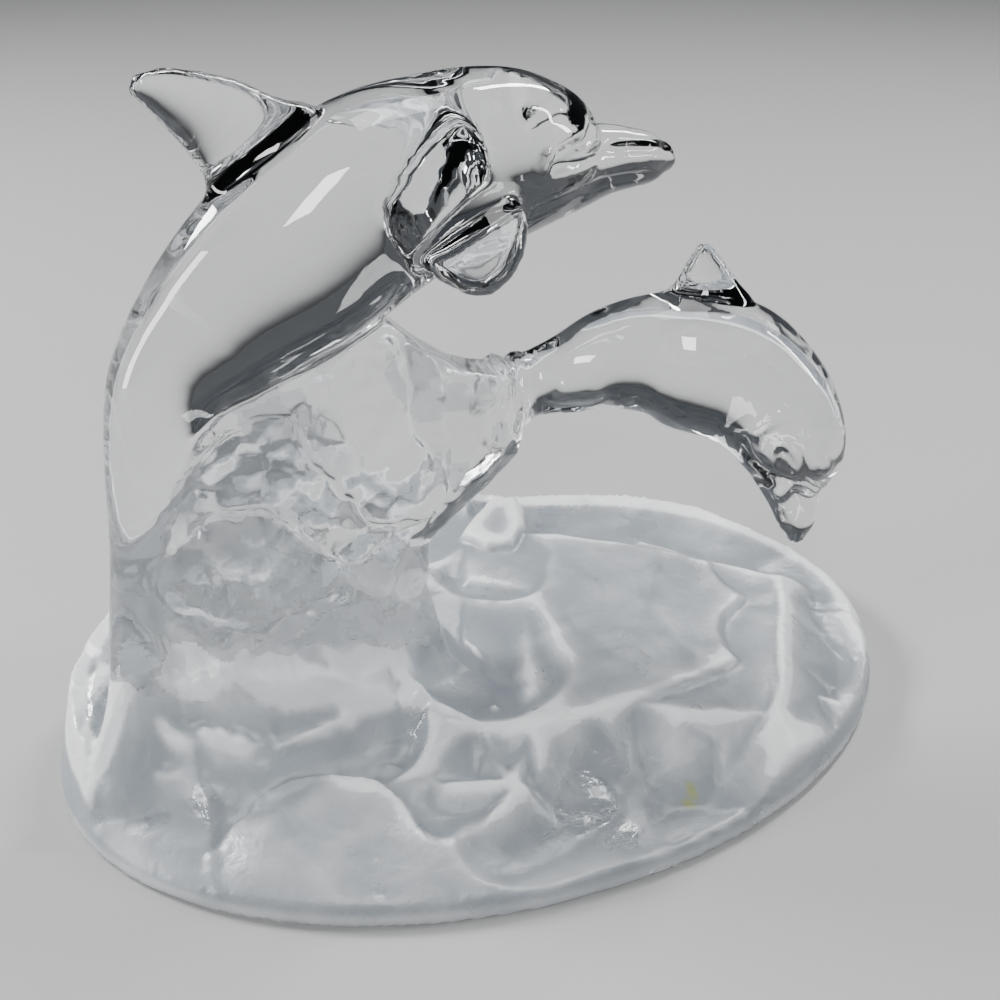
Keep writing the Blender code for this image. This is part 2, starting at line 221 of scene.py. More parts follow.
# The same across the rock's back.
BACK_STEPS = [
    ([(-60, 52, 0), (-54, 62, 2.0), (-44, 68, 2.6), (-34, 70, 2.4), (-26, 64, 2.4), (-20, 54, 1.8),
      (-10, 52, 0)], 14),
    ([(-58, 40, 0), (-48, 48, 2.0), (-38, 47, 2.2), (-30, 40, 2.0), (-20, 42, 1.6), (-12, 50, 0)], 12),
    ([(-16, 84, 0), (-14, 74, 1.6), (-10, 66, 1.6), (-2, 62, 0)], 9),
    ([(-38, 84, 0), (-36, 76, 1.4), (-40, 68, 0)], 8),
    ([(-20, 54, 0), (-16, 62, 1.3), (-6, 68, 1.0), (2, 70, 0)], 8),
]
# Facets broken from the rock's front: a point x, z with the depth there, and how the depth grows to the
# right and upwards.
FRONT_FACETS = [
    (-5, 70, 1.0, 0.10, 0.10),
    (-26, 70, 1.2, -0.06, 0.07),
    (-44, 66, 2.2, -0.10, 0.04),
    (-40, 50, 2.2, 0.05, -0.05),
    (-22, 56, 1.8, 0.12, -0.03),
]
# How the facets curve forward again, and how deep the pits are, on the faces and along the ledges.
FACET_RISE = 0.004
PITTED = 0.3
PITTED_LEDGE = 0.6
PITTED_SPAN = (-2.4, -0.6)

# Seeded noise in layers: height, size of its features and seed. The warps bend the lines drawn above.
WARP = 1.3
NOISE_GRID = 512
BASE_WARP_X = [(WARP, 11, 5)]
BASE_WARP_Y = [(WARP, 11, 6)]
ROCK_WARP_X = [(WARP, 9, 8), (0.4, 3, 9)]
ROCK_WARP_Z = [(WARP, 9, 10), (0.4, 3, 11)]
TERRACE_NOISE = [(2.2, 8, 16)]
BASE_NOISE = [(0.35, 9.0, 7), (0.14, 4.0, 1), (0.05, 1.8, 2)]
FRONT_NOISE = [(1.0, 2.8, 3), (0.5, 1.3, 4)]
BACK_NOISE = [(1.0, 2.4, 12), (0.6, 1.3, 13)]

# Hollows broken out of the rock's back: centre x, y, z and radius of the ball taken away.
BACK_HOLLOWS = [
    (-40, 44, 72, 36),
    (-12, 42, 58, 36),
    (-36, 46, 42, 30),
]

# Dolphins, tail to snout: x, y, z, half depth, half width, heading in degrees from +X to the front.
ADULT_BODY = [
    (-72, -13, 10, 6.0, 6.0, 0),
    (-68, -8, 22, 5.6, 5.6, 0),
    (-66, -3, 36, 4.8, 4.8, 0),
    (-63.3, 0, 50, 5.1, 4.8, 0),
    (-59.8, 0, 65, 7.3, 6.5, 0),
    (-54.8, 0, 79, 10.0, 8.6, 0),
    (-46, 0, 88.2, 13.6, 11.6, 0),
    (-34, 0, 97, 16.7, 14.2, 0),
    (-20, 0, 106, 16.8, 14.8, 0),
    (-8, 0, 109.6, 15.8, 14.0, 0),
    (3, 0, 111.2, 14.4, 12.6, 0),
    (11, 0, 111.2, 11.8, 10.6, 0),
    (16.5, 0, 110.8, 8.4, 7.8, 0),
    (19.5, 0, 110.4, 4.0, 4.0, 0),
]
ADULT_BEAK = [
    (4, 0, 105.6, 8.4, 8.4, 0),
    (13, 0, 107, 7.2, 7.2, 0),
    (21, 0, 108.6, 6.2, 5.7, 0),
    (27, 0, 108.4, 5.1, 4.8, 0),
    (31, 0, 108.1, 4.2, 3.9, 0),
    (33, 0, 108, 2.7, 2.6, 0),
]
ADULT_FIN = [
    (-36.5, 0, 115, 11.0, 4.4, 0),
    (-39.5, 0, 118.2, 8.2, 3.3, 0),
    (-42.5, 0, 121, 7.0, 2.7, 0),
    (-46.2, 0, 123.6, 5.4, 2.3, 0),
    (-50, 0, 125.8, 3.8, 1.9, 0),
    (-53, 0, 126.8, 2.1, 1.5, 0),
]
ADULT_FLIPPER = [
    (-8, -9, 105.4, 9.0, 4.0),
    (-7.5, -13.5, 103.4, 9.2, 3.0),
    (-7.5, -17.5, 101, 8.0, 2.5),
    (-8, -20.5, 98.8, 5.8, 2.0),
    (-8.5, -22, 97.6, 3.4, 1.4),
]
FLIPPER_CHORD = (0.87, 0.0, 0.5)
CALF_BODY = [
    (-8, 0, 64, 6.5, 6.0, 0),
    (6, 0, 68, 5.8, 5.4, 0),
    (16, -1, 70, 7.6, 6.8, 8),
    (24, -2, 72, 9.7, 8.6, 16),
    (31, -5, 73, 11.4, 10.0, 24),
    (37, -8, 72, 13.1, 11.2, 32),
    (44, -11, 70, 13.6, 11.6, 41),
    (49, -15, 66, 12.4, 11.2, 50),
    (52, -18, 61, 11.2, 10.4, 58),
    (54, -20, 55.5, 9.6, 9.0, 64),
    (54.6, -21, 51, 6.4, 6.6, 68),
    (54.8, -21, 49, 3.4, 3.8, 70),
]
CALF_BEAK = [
    (50.6, -19, 57, 7.0, 7.2, 60),
    (53, -20.5, 50.5, 5.9, 5.7, 66),
    (54.3, -21.3, 45.5, 4.7, 4.5, 70),
    (55, -21.8, 41, 3.4, 3.3, 70),
    (55.2, -22, 38.6, 1.8, 1.8, 70),
]
CALF_FIN = [
    (39.5, -8, 84, 7.6, 3.6, 30),
    (39.2, -7.8, 87.4, 5.2, 2.7, 30),
    (38.8, -7.7, 90.6, 3.4, 2.1, 30),
    (38.6, -7.6, 92.6, 1.9, 1.5, 30),
]

# Strokes worked into the skin: line of x, y, z, half width and height, a groove if the height is negative.
ADULT_STROKES = [
    ([(34.6, -1.1, 108.9), (32.8, -2.2, 109.7), (27.7, -3.8, 111.0), (22.1, -4.8, 111.6),
      (16.8, -7.5, 111.9), (11.6, -10.3, 111.9), (7.6, -11.5, 112.0)], 0.85, -1.0),
    ([(17.8, -3.5, 117.6), (17.3, -5.2, 116.6), (16.4, -6.2, 116.4), (14.8, -8.4, 114.6),
      (11.7, -10.0, 114.0), (8.8, -11.0, 113.4)], 0.95, -0.75),
    ([(6.4, -11.7, 113.5), (6.2, -11.7, 112.9)], 1.1, 0.8),
    ([(10.1, -8.0, 119.6), (6.8, -9.8, 118.7), (4.0, -11.0, 117.5)], 0.9, -0.35),
    ([(5.3, -10.8, 105.0), (12.4, -8.8, 106.3), (20.3, -5.7, 107.3), (27.6, -4.5, 107.4),
      (31.6, -3.2, 106.8)], 0.9, -0.6),
    ([(-0.8, -15.1, 108.1), (1.0, -14.0, 106.5), (-0.4, -18.7, 105.0), (-2.7, -21.2, 103.1),
      (-5.7, -22.9, 100.5), (-8.7, -23.1, 98.4), (-11.2, -20.5, 98.7), (-13.3, -17.3, 99.7),
      (-14.3, -15.5, 100.1)], 1.3, 0.5),
]
CALF_STROKES = [
    ([(47.0, -26.6, 60.2), (48.3, -27.2, 58.0)], 0.9, -0.5),
    ([(50.0, -27.8, 55.8), (48.5, -26.9, 55.5), (46.5, -26.0, 57.4), (45.1, -25.5, 60.2),
      (45.2, -25.9, 62.3), (46.6, -26.9, 62.7), (48.6, -27.8, 60.8), (50.0, -28.3, 58.1),
      (50.0, -27.8, 55.8)], 0.85, 1.1),
    ([(53.5, -28.9, 58.6), (54.1, -28.8, 57.2)], 1.6, 1.4),
    ([(41.6, -22.3, 62.0), (43.0, -22.1, 58.0), (45.8, -24.2, 55.2), (48.6, -26.4, 54.4),
      (50.4, -27.4, 55.4), (51.0, -28.2, 58.0), (50.6, -28.3, 61.0)], 1.3, -0.9),
    ([(42.2, -23.3, 63.3), (43.6, -24.7, 65.6), (45.7, -25.8, 67.3), (49.0, -26.8, 68.1)], 1.3, 0.7),
    ([(49.0, -24.6, 50.1), (49.3, -25.8, 52.2), (50.3, -27.0, 53.5), (52.1, -27.4, 52.7),
      (54.1, -26.9, 50.7)], 1.1, 0.7),
    ([(50.6, -26.7, 52.2), (51.7, -25.7, 48.9)], 1.0, -0.5),
    ([(44.1, -20.4, 58.0), (46.0, -21.0, 54.0), (48.2, -21.8, 50.0), (50.4, -22.4, 46.0),
      (52.6, -23.4, 41.5)], 1.1, -0.6),
    ([(12.5, -6.8, 70.4), (17.0, -8.4, 69.8)], 2.6, 1.7),
    ([(8.6, -5.0, 67.4), (12.0, -6.4, 66.0), (17.0, -8.0, 65.6), (21.4, -9.4, 67.4)], 0.9, -0.6),
]
STROKE_REACH = 4.0

# Collars round the calf's root: place along x, reach, half width and height; how they climb and lean
# along the root, and how far past their reach they fade.
COLLARS = [(1.4, 6.8, 1.1, 1.2), (5.0, 6.4, 1.2, 1.0)]
COLLAR_CLIMB = 0.29
COLLAR_LEAN = 0.25
COLLAR_FADE = (3.0, 1.5)

# Fillets where the forms melt into one another.
FILLET_BASE = 4.0
FILLET_BELLY = 2.2
FILLET_BEAK = 1.0
FILLET_FIN = 2.5
FILLET_FLIPPER = 1.6
FILLET_CALF = 3.0

# The skin: lattice cell, how far from the skin the field counts, the margin round the figure, where the
# rock lies, the rows drawn between two given rows, the spacing along a swept form, how far around it its
# field is worked out, how often its nearest place is found more closely, and the least values divided by.
CELL = 0.8
BAND = 3 * CELL
MARGIN = 4.0
ROCK_BOX = ((-80, -34, -MARGIN), (22, 34, 100))
SPAN_ROWS = 24
SAMPLE_STEP = 0.9
SWEEP_REACH = 6.0
DOLPHIN_REACH = 20.0
REFININGS = 2
LEAST_HALF = 0.3
LEAST_LENGTH = 1e-9
LEAST_REACH = 1e-3
LEAST_SLOPE = 1e-6

# Columns of a sweep's rows.
CENTRE = slice(0, 3)
TANGENT = slice(3, 6)
SIDE = slice(6, 9)
UP = slice(9, 12)
DEPTH = 12
WIDTH = 13

# Smoothing of the polished glass, in pairs that leave the form its size, before and after the strokes;
# the height that it starts from, and how it fades out beside the dolphins and the base's wall.
POLISH_PULLS = (0.6, -0.63) * 8
LAST_PULLS = (0.6, -0.63) * 2
POLISHED_FROM = 26.0
DOLPHIN_EDGE = (0.4, 1.6)
WALL_EDGE = (0.3, 1.2)
WALL_FOOT = (0.2, 1.0)

# The underside: what lies lower is flat on it, and how far in from the edge its lattice is kept.
FLAT_BELOW = 0.01
UNDERSIDE_RING = 2.0

# Where the frost ends: its height at a place x, y, how it falls to the right and backwards, its limits,
# its height on the tail left of a place x, and how soft and ragged its edge is.
FROST_HEIGHT = 35.0
FROST_FROM = (-50, -14)
FROST_FALL = (0.22, 0.5)
FROST_LIMITS = (22, 41)
TAIL_FROM = -62
TAIL_FROST = 31
FROST_FADE = 4
FROST_NOISE = [(2.2, 6, 17), (1.0, 2.5, 18)]

# How frosted the rim's wall is, and the heights above the rim where the base's and the rock's finish starts.
RIM_FROST = 0.9
RIM_FADE = (-0.9, 0.3)
ROCK_FADE = 2

# How frosted the broken rock is, from its clearest to its cloudiest facets.
ROCK_CLOUD = (0.2, 0.55)
CLOUD_NOISE = [(1.0, 7, 14)]
CLOUD_SPAN = (-0.5, 0.6)

# Small marks on the base: place x, y and radius; how they are drawn out, and how ragged they are.
STAINS = [(20.0, -48.8, 1.3), (21.6, -47.2, 0.9)]
STAIN_DEPTH = 0.7
STAIN_LEAN = 0.3
STAIN_CORE = 0.5
STAIN_NOISE = [(1.0, 1.2, 15)]
STAINED_BELOW = 16

# Painted highlight and shade on the frosted base: what stands out is painted whiter, the hollows greyer.
# Half sizes of a millimetre grid over the base, how often its heights are evened out to find what lies
# around, and how far a place must stand out to be painted white.
CREST_GRID = (90.5, 64.5)
CREST_ROUNDS = 24
CREST_SPAN = (-0.35, 0.95)

# Painted shade: the front bank is painted less white near the table. Painted highlight: the high mound and
# the rim's wall are kept light and never painted dark.
FRONT_SHADE = 0.6
FRONT_SHADE_ACROSS = (10, 30)
FRONT_SHADE_BELOW = (-11, -5)
MOUND_HIGHLIGHT = 0.55
MOUND_HIGHLIGHT_SPAN = (18, 26)
RIM_HIGHLIGHT = 0.62
RIM_HIGHLIGHT_SPAN = (-0.6, 0.2)

# Finishes from clear to white: name, share of the light that goes through, roughness where it is fully
# frosted, and whether it has the frosted base's colours. The steps are the frost that each starts from. The
# whitest finish is a painted highlight on the crests.
FINISHES = [
    ("clear_crystal", 1.0, 0.36, False),
    ("hazy_crystal", 0.84, 0.36, True),
    ("frosted_crystal", 0.66, 0.36, True),
    ("crest_highlight_crystal", 0.42, 0.40, True),
]
FINISH_STEPS = (0.5, 0.8)
# How strongly a fully frosted face must carry the painted crest highlight to get the whitest finish.
HIGHLIGHT_CREST = 0.68
CRYSTAL_IOR = 1.55
CLEAREST = 0.012
CLEAR_COLOR = (0.985, 0.992, 1.0, 1.0)
# Painted shade for the base's hollows and painted highlight for its crests: the two ends of the frosted
# base's tone.
HOLLOW_SHADE_COLOR = (0.37, 0.41, 0.45, 1)
CREST_HIGHLIGHT_COLOR = (0.98, 0.99, 1.0, 1)
STAIN_COLOR = (0.42, 0.46, 0.16, 1)

# How strongly cloudy patches whiten the frost, from what level, and the frost's fine grain, in metres.
PATCH_GAIN = 1.1
PATCH_OFFSET = -0.55
GRAIN_STRENGTH = 0.5
GRAIN_HEIGHT = 0.0003

# The studio: floor, lights (name, place, point aimed at, size and power), world and camera, in metres.
FLOOR_HALF = 3.0
FLOOR_HEIGHT = -0.0002
FLOOR_COLOR = (0.33, 0.33, 0.33, 1.0)
FLOOR_ROUGHNESS = 0.6
LIGHTS = [
    ("overhead", (0.0, 0.1, 1.1), (0, 0, 0), (0.4, 0.4), 3),
    ("key", (-0.55, 0.45, 0.55), (0, 0, 0.03), (0.22, 0.22), 11),
    ("left", (-0.9, -0.02, 0.30), (-0.05, 0, 0.07), (0.14, 0.6), 6),
    ("strip_top", (0.45, 0.27, 0.75), (0, 0, 0.09), (0.06, 0.5), 7),
    ("strip_right", (0.70, -0.25, 0.55), (0.03, 0, 0.06), (0.05, 0.5), 4),
    ("window", (-0.42, -0.75, 0.78), (0, 0, 0.06), (0.16, 0.40), 6),
]
WORLD_COLOR = (0.30, 0.33, 0.37, 1.0)
WORLD_STRENGTH = 0.18
LENS = 46.8
SENSOR = 36.0
NEAREST_SEEN = 0.01
CAMERA_PLACE = (-0.07436, -0.19902, 0.16813)
CAMERA_TILT = 60
CAMERA_TURN = -21.257


def ease(value, span):
    """0 before the span, 1 after it, smooth between."""
    share = np.clip((value - span[0]) / (span[1] - span[0]), 0, 1)
    return share * share * (3 - 2 * share)


def melt(first, second, fillet):
    """Join two fields with a rounded seam."""
    share = np.clip(0.5 + 0.5 * (second - first) / fillet, 0, 1)
    return second + (first - second) * share - fillet * share * (1 - share)


def unit(rows):
    """Rows scaled to a length of 1."""
    return rows / np.linalg.norm(rows, axis=1)[:, None]


def steepness(height):
    """How much longer a sloping surface is than its plan, from its heights on the lattice."""
    slope_u, slope_v = np.gradient(height, CELL)
    return np.sqrt(1 + slope_u ** 2 + slope_v ** 2)


def edge_distance(x, y):
    """How far inside the oval a place is, measured towards the centre."""
    reach = np.maximum(np.hypot(x / (BASE_LENGTH / 2), y / (BASE_DEPTH / 2)), LEAST_REACH)
    return np.hypot(x, y) * (1 / reach - 1)


def ground(x, y):
    """Height of the base's top before the hollows are broken out."""
    along = x / (BASE_LENGTH / 2)
    across = y / (BASE_DEPTH / 2)
    reach = np.maximum(np.hypot(along, across), LEAST_REACH)
    front_bank = BANK_FRONT_LEFT + (BANK_FRONT_RIGHT - BANK_FRONT_LEFT) * ease(along, FRONT_BANK_CHANGE)
    bank = front_bank * np.clip(-across / reach, 0, 1) ** 2
    bank = bank + BANK_BACK * np.clip(across / reach, 0, 1) ** 2
    bank = bank + BANK_LEFT * np.clip(-along / reach, 0, 1) ** 2
    bank = bank + BANK_RIGHT * np.clip(along / reach, 0, 1) ** 2
    mound_along = (along - MOUND_CENTRE[0]) / MOUND_REACH[0]
    mound_across = (across - MOUND_CENTRE[1]) / MOUND_REACH[1]
    from_mound = np.hypot(mound_along, mound_across)
    rise = LEFT_RISE * ease(along, LEFT_RISE_ALONG) * ease(across, LEFT_RISE_ACROSS)
    table = TABLE_HEIGHT + rise - RIGHT_FALL * ease(along, RIGHT_FALL_ALONG)
    table = table + MOUND_HEIGHT * np.exp(-from_mound ** 2)
    inside = edge_distance(x, y)
    top = RIM_HEIGHT + (table - RIM_HEIGHT) * np.sqrt(np.clip(inside / bank, 0, 1))
    swell = RIM_HEIGHT + SWELL_HEIGHT * np.sqrt(np.clip(inside / SWELL_REACH, 0, 1))
    swell = swell + SWELL_CLIMB * np.maximum(inside - SWELL_REACH, 0)
    share = ease(along, SWELL_ALONG) * ease(across, SWELL_ACROSS)
    return np.where(swell < top, top + (swell - top) * share, top)


def near_segment(u, v, start, end):
    """How far along a segment each place of a plane lies, from 0 to 1, and how far from it."""
    run_u, run_v = end[0] - start[0], end[1] - start[1]
    length = max(run_u * run_u + run_v * run_v, LEAST_LENGTH)
    share = np.clip(((u - start[0]) * run_u + (v - start[1]) * run_v) / length, 0, 1)
    return share, np.hypot(u - start[0] - share * run_u, v - start[1] - share * run_v)


def near_line(u, v, line):
    """Distance to a line of points in a plane, and the line's third value there."""
    best = np.full(u.shape, np.inf)
    value = np.zeros(u.shape)
    for start, end in zip(line, line[1:] or line):
        share, gap = near_segment(u, v, start, end)
        closer = gap < best
        best[closer] = gap[closer]
        value[closer] = (start[2] + share * (end[2] - start[2]))[closer]
    return best, value


def step_down(u, v, steps):
    """How far the steps lower each place of a plane, and how close the nearest step is."""
    down = np.zeros(u.shape)
    nearest = np.full(u.shape, np.inf)
    for line, reach in steps:
        best = np.full(u.shape, np.inf)
        drop = np.zeros(u.shape)
        for start, end in zip(line, line[1:]):
            share, gap = near_segment(u, v, start, end)
            turn = (end[0] - start[0]) * (v - start[1]) - (end[1] - start[1]) * (u - start[0])
            closer = gap < np.abs(best)
            best[closer] = np.where(turn < 0, gap, -gap)[closer]
            drop[closer] = (start[2] + share * (end[2] - start[2]))[closer]
        down += drop * ease(best, STEP_SPAN) * np.exp(-np.maximum(best, 0) / reach)
        nearest = np.minimum(nearest, np.abs(best) + LOW_DROP_AWAY * (drop < LOW_DROP))
    return down, nearest


def outline_field(u, v, corners):
    """Signed distance to a closed outline in a plane."""
    best = np.full(u.shape, np.inf)
    inside = np.zeros(u.shape, bool)
    for start, end in zip(corners, corners[1:] + corners[:1]):
        best = np.minimum(best, near_segment(u, v, start, end)[1])
        if start[1] != end[1]:
            crossing = start[0] + (v - start[1]) * (end[0] - start[0]) / (end[1] - start[1])
            inside ^= ((start[1] > v) != (end[1] > v)) & (u < crossing)
    return np.where(inside, -best, best)


def read_grid(grid, i, j, s, t):
    """Values of a grid, at shares s and t of the way from its points i, j to the next."""
    low = grid[i, j] * (1 - s) + grid[i + 1, j] * s
    high = grid[i, j + 1] * (1 - s) + grid[i + 1, j + 1] * s
    return low * (1 - t) + high * t


def value_noise(u, v, size, seed):
    """Smooth noise between -1 and 1 with features of the given size."""
    grid = np.random.default_rng(seed).uniform(-1, 1, (NOISE_GRID, NOISE_GRID))
    u, v = u / size + NOISE_GRID / 2, v / size + NOISE_GRID / 2
    i, j = np.floor(u).astype(int), np.floor(v).astype(int)
    return read_grid(grid, i, j, ease(u - i, (0, 1)), ease(v - j, (0, 1)))


def add_noise(values, u, v, layers):
    """Values with layers of noise added, each with its height, size and seed."""
    for height, size, seed in layers:
        values = values + height * value_noise(u, v, size, seed)
    return values


def base_top(x, y):
    """Height of the base's top: banked up from a low rim, and broken like ice."""
    inside = edge_distance(x, y)
    top = ground(x, y)
    warp_x = add_noise(x, x, y, BASE_WARP_X)
    warp_y = add_noise(y, x, y, BASE_WARP_Y)
    lip = RIM_HEIGHT + np.clip(LIP_SLOPE * inside, 0, HOLLOW_LIP)
    for line, radius in BASE_HOLLOWS:
        gap, lowest = near_line(warp_x, warp_y, line)
        top = np.minimum(top, np.maximum(lowest + gap ** 2 / (2 * radius), lip))
    for outline, height, side in BASE_TABLES:
        gap = outline_field(x, y, outline)
        dish = TABLE_DISH * ease(-gap, DISH_SPAN)
        top = np.maximum(top, height - dish - side * np.maximum(gap, 0))
    for line, side in BASE_RIDGES:
        gap, crest = near_line(warp_x, warp_y, line)
        top = np.maximum(top, crest - side * gap)
    waves = np.sin(2 * math.pi * add_noise(top, x, y, TERRACE_NOISE) / TERRACE_PITCH)
    top = top + TERRACE_HEIGHT * waves * ease(-outline_field(x, y, TERRACED), TERRACE_SPAN)
    down, _ = step_down(warp_x, warp_y, BASE_STEPS)
    top = np.maximum(top - down, np.minimum(top, lip))
    flutes = np.sin(2 * math.pi * (x + FLUTE_LEAN * y) / FLUTE_PITCH)
    top = top + FLUTE_HEIGHT * flutes * ease(-outline_field(x, y, FLUTED), FLUTE_SPAN)
    top = add_noise(top, x, y, BASE_NOISE)
    return np.minimum(top, RIM_HEIGHT + RIM_CLIMB * np.maximum(inside, 0))


def broken_face(face, x, z, warp_x, warp_z, steps, layers):
    """A face of the rock set back at its ledges, with pits that are deepest along them."""
    down, near_step = step_down(warp_x, warp_z, steps)
    pits = PITTED + (PITTED_LEDGE - PITTED) * ease(-near_step, PITTED_SPAN)
    return face - down + pits * add_noise(0, x, z, layers)


def rock_field(x, y, z):
    """Wedge of rock, thin at the top and at its edges, with shells broken from its faces."""
    flat_x, flat_z = x[:, 0, :], z[:, 0, :]
    outline = outline_field(flat_x, flat_z, ROCK_OUTLINE)
    half = np.interp(flat_z, (ROCK_FOOT, ROCK_TOP), (ROCK_HALF_FOOT, ROCK_HALF_TOP))
    plain = np.minimum(half, ROCK_EDGE_HALF - ROCK_EDGE_SLOPE * outline)
    warp_x = add_noise(flat_x, flat_x, flat_z, ROCK_WARP_X)
    warp_z = add_noise(flat_z, flat_x, flat_z, ROCK_WARP_Z)
    front = plain
    for facet_x, facet_z, depth, rightward, upward in FRONT_FACETS:
        sunk = depth + rightward * (warp_x - facet_x) + upward * (warp_z - facet_z)
        away = np.hypot(flat_x - facet_x, flat_z - facet_z)
        front = np.minimum(front, half - sunk + FACET_RISE * away ** 2)
    front = broken_face(front, flat_x, flat_z, warp_x, warp_z, FRONT_STEPS, FRONT_NOISE)
    back = broken_face(plain, flat_x, flat_z, warp_x, warp_z, BACK_STEPS, BACK_NOISE)
    body = outline[:, None, :]
    for outward, face in ((-y, front), (y, back)):
        body = np.maximum(body, (outward - face[:, None, :]) / steepness(face)[:, None, :])
    for hollow_x, hollow_y, hollow_z, radius in BACK_HOLLOWS:
        ball = np.sqrt((x - hollow_x) ** 2 + (y - hollow_y) ** 2 + (z - hollow_z) ** 2)
        body = np.maximum(body, radius - ball)
    return body


def smooth_path(rows):
    """Closely and evenly spaced rows on a smooth curve through the given rows."""
    rows = np.array(rows, float)
    ends = np.vstack([2 * rows[0] - rows[1], rows, 2 * rows[-1] - rows[-2]])
    share = np.linspace(0, 1, SPAN_ROWS, endpoint=False)[:, None]
    spans = []
    for a, b, c, d in zip(ends, ends[1:], ends[2:], ends[3:]):
        bend = (2 * a - 5 * b + 4 * c - d) * share ** 2 + (3 * b - a - 3 * c + d) * share ** 3
        spans.append(0.5 * (2 * b + (c - a) * share + bend))
    dense = np.vstack(spans + [rows[-1:]])
    steps = np.linalg.norm(np.diff(dense[:, :3], axis=0), axis=1)
    travelled = np.concatenate([[0], np.cumsum(steps)])
    even = np.linspace(0, travelled[-1], int(travelled[-1] / SAMPLE_STEP) + 2)
    return np.stack([np.interp(even, travelled, column) for column in dense.T], 1)


def make_sweep(rows, mirror=1, side=None):
    """Rows along a swept form: centre, tangent, side, up, half depth and half width."""
    rows = np.array(rows, float)
    rows[:, 1] *= mirror
    path = smooth_path(rows)
    centre = path[:, :3]
    tangent = unit(np.gradient(centre, axis=0))
    if side is None:
        heading = np.radians(path[:, 5])
        side = np.stack([np.sin(heading), np.cos(heading), 0 * heading], 1)
    else:
        side = np.tile(side, (len(path), 1))
    side = unit(side - (side * tangent).sum(1)[:, None] * tangent)
    return np.hstack([centre, tangent, side, np.cross(tangent, side), path[:, 3:5]])


def flipper_sweep(mirror):
    """The adult's flipper on the near side, or mirrored on the far side."""
    stem = np.subtract(ADULT_FLIPPER[-1][:3], ADULT_FLIPPER[0][:3])
    face = np.cross(stem, FLIPPER_CHORD)
    return make_sweep(ADULT_FLIPPER, mirror, face * (1, mirror, 1))


def rows_between(sweep, at):
    """A sweep's rows at places between its own rows, and the index of the row below each."""
    low = np.minimum(at.astype(int), len(sweep) - 2)
    share = (at - low)[:, None]
    return sweep[low] * (1 - share) + sweep[low + 1] * share, low


def sweep_field(points, sweep):
    """Signed distance, near enough, from points to a swept form of elliptical section."""
    nearest = np.zeros(len(points), int)
    best = np.full(len(points), np.inf)
    for i, centre in enumerate(sweep[:, CENTRE]):
        gap = ((points - centre) ** 2).sum(1)
        closer = gap < best
        best[closer] = gap[closer]
        nearest[closer] = i
    at = nearest.astype(float)
    for _ in range(REFININGS):
        row, low = rows_between(sweep, at)
        run = ((points - row[:, CENTRE]) * row[:, TANGENT]).sum(1)
        span = np.linalg.norm(sweep[low + 1, CENTRE] - sweep[low, CENTRE], axis=1)
        at = np.clip(at + run / span, 0, len(sweep) - 1)
    row, _ = rows_between(sweep, at)
    out = points - row[:, CENTRE]
    depth = np.maximum(row[:, DEPTH], LEAST_HALF)
    width = np.maximum(row[:, WIDTH], LEAST_HALF)
    least = np.minimum(depth, width)
    high = (out * row[:, UP]).sum(1) / depth
    across = (out * row[:, SIDE]).sum(1) / width
    past = (out * row[:, TANGENT]).sum(1) / least
    ring = np.sqrt(high ** 2 + across ** 2 + past ** 2)
    steep = np.sqrt((high / depth) ** 2 + (across / width) ** 2 + (past / least) ** 2)
    return ring * (ring - 1) / np.maximum(steep, LEAST_SLOPE)


def figure_field():
    """The whole casting as one field on a regular lattice, with the lattice's lowest corner."""
    squat = PARTS_HIGH / FIGURE_HEIGHT
    low = np.array([-BASE_LENGTH / 2, -BASE_DEPTH / 2, 0]) - MARGIN
    high = np.array([BASE_LENGTH / 2, BASE_DEPTH / 2, FIGURE_HEIGHT]) + MARGIN
    axes = [np.arange(a, b, CELL) for a, b in zip(low, high)]
    flat_x, flat_y = np.meshgrid(*axes[:2], indexing="ij")
    top = base_top(flat_x, flat_y)
    solid = (axes[2][None, None, :] - top[:, :, None]) / steepness(top)[:, :, None]
    solid = np.maximum(solid, -edge_distance(flat_x, flat_y)[:, :, None])

    def part_of(first, last):
        return tuple(slice(*np.searchsorted(axis, (a, b))) for axis, a, b in zip(axes, first, last))

    def places(box):
        x, y, z = np.meshgrid(*(axis[span] for axis, span in zip(axes, box)), indexing="ij")
        return x, y, z * squat

    box = part_of(*ROCK_BOX)
    solid[box] = melt(solid[box], rock_field(*places(box)), FILLET_BASE)

    def add(sweep, fillet):
        reach = sweep[:, DEPTH:].max() + SWEEP_REACH
        box = part_of(sweep[:, CENTRE].min(0) - reach, sweep[:, CENTRE].max(0) + reach)
        points = np.stack([values.ravel() for values in places(box)], 1)
        form = sweep_field(points, sweep).reshape(solid[box].shape)
        solid[box] = melt(solid[box], form, fillet)

    add(make_sweep(ADULT_BODY), FILLET_BELLY)
    add(make_sweep(ADULT_BEAK), FILLET_BEAK)
    add(make_sweep(ADULT_FIN), FILLET_FIN)
    for mirror in (1, -1):
        add(flipper_sweep(mirror), FILLET_FLIPPER)
    add(make_sweep(CALF_BODY), FILLET_CALF)
    add(make_sweep(CALF_BEAK), FILLET_BEAK)
    add(make_sweep(CALF_FIN), FILLET_FIN)
    return np.maximum(solid, -axes[2][None, None, :]), low


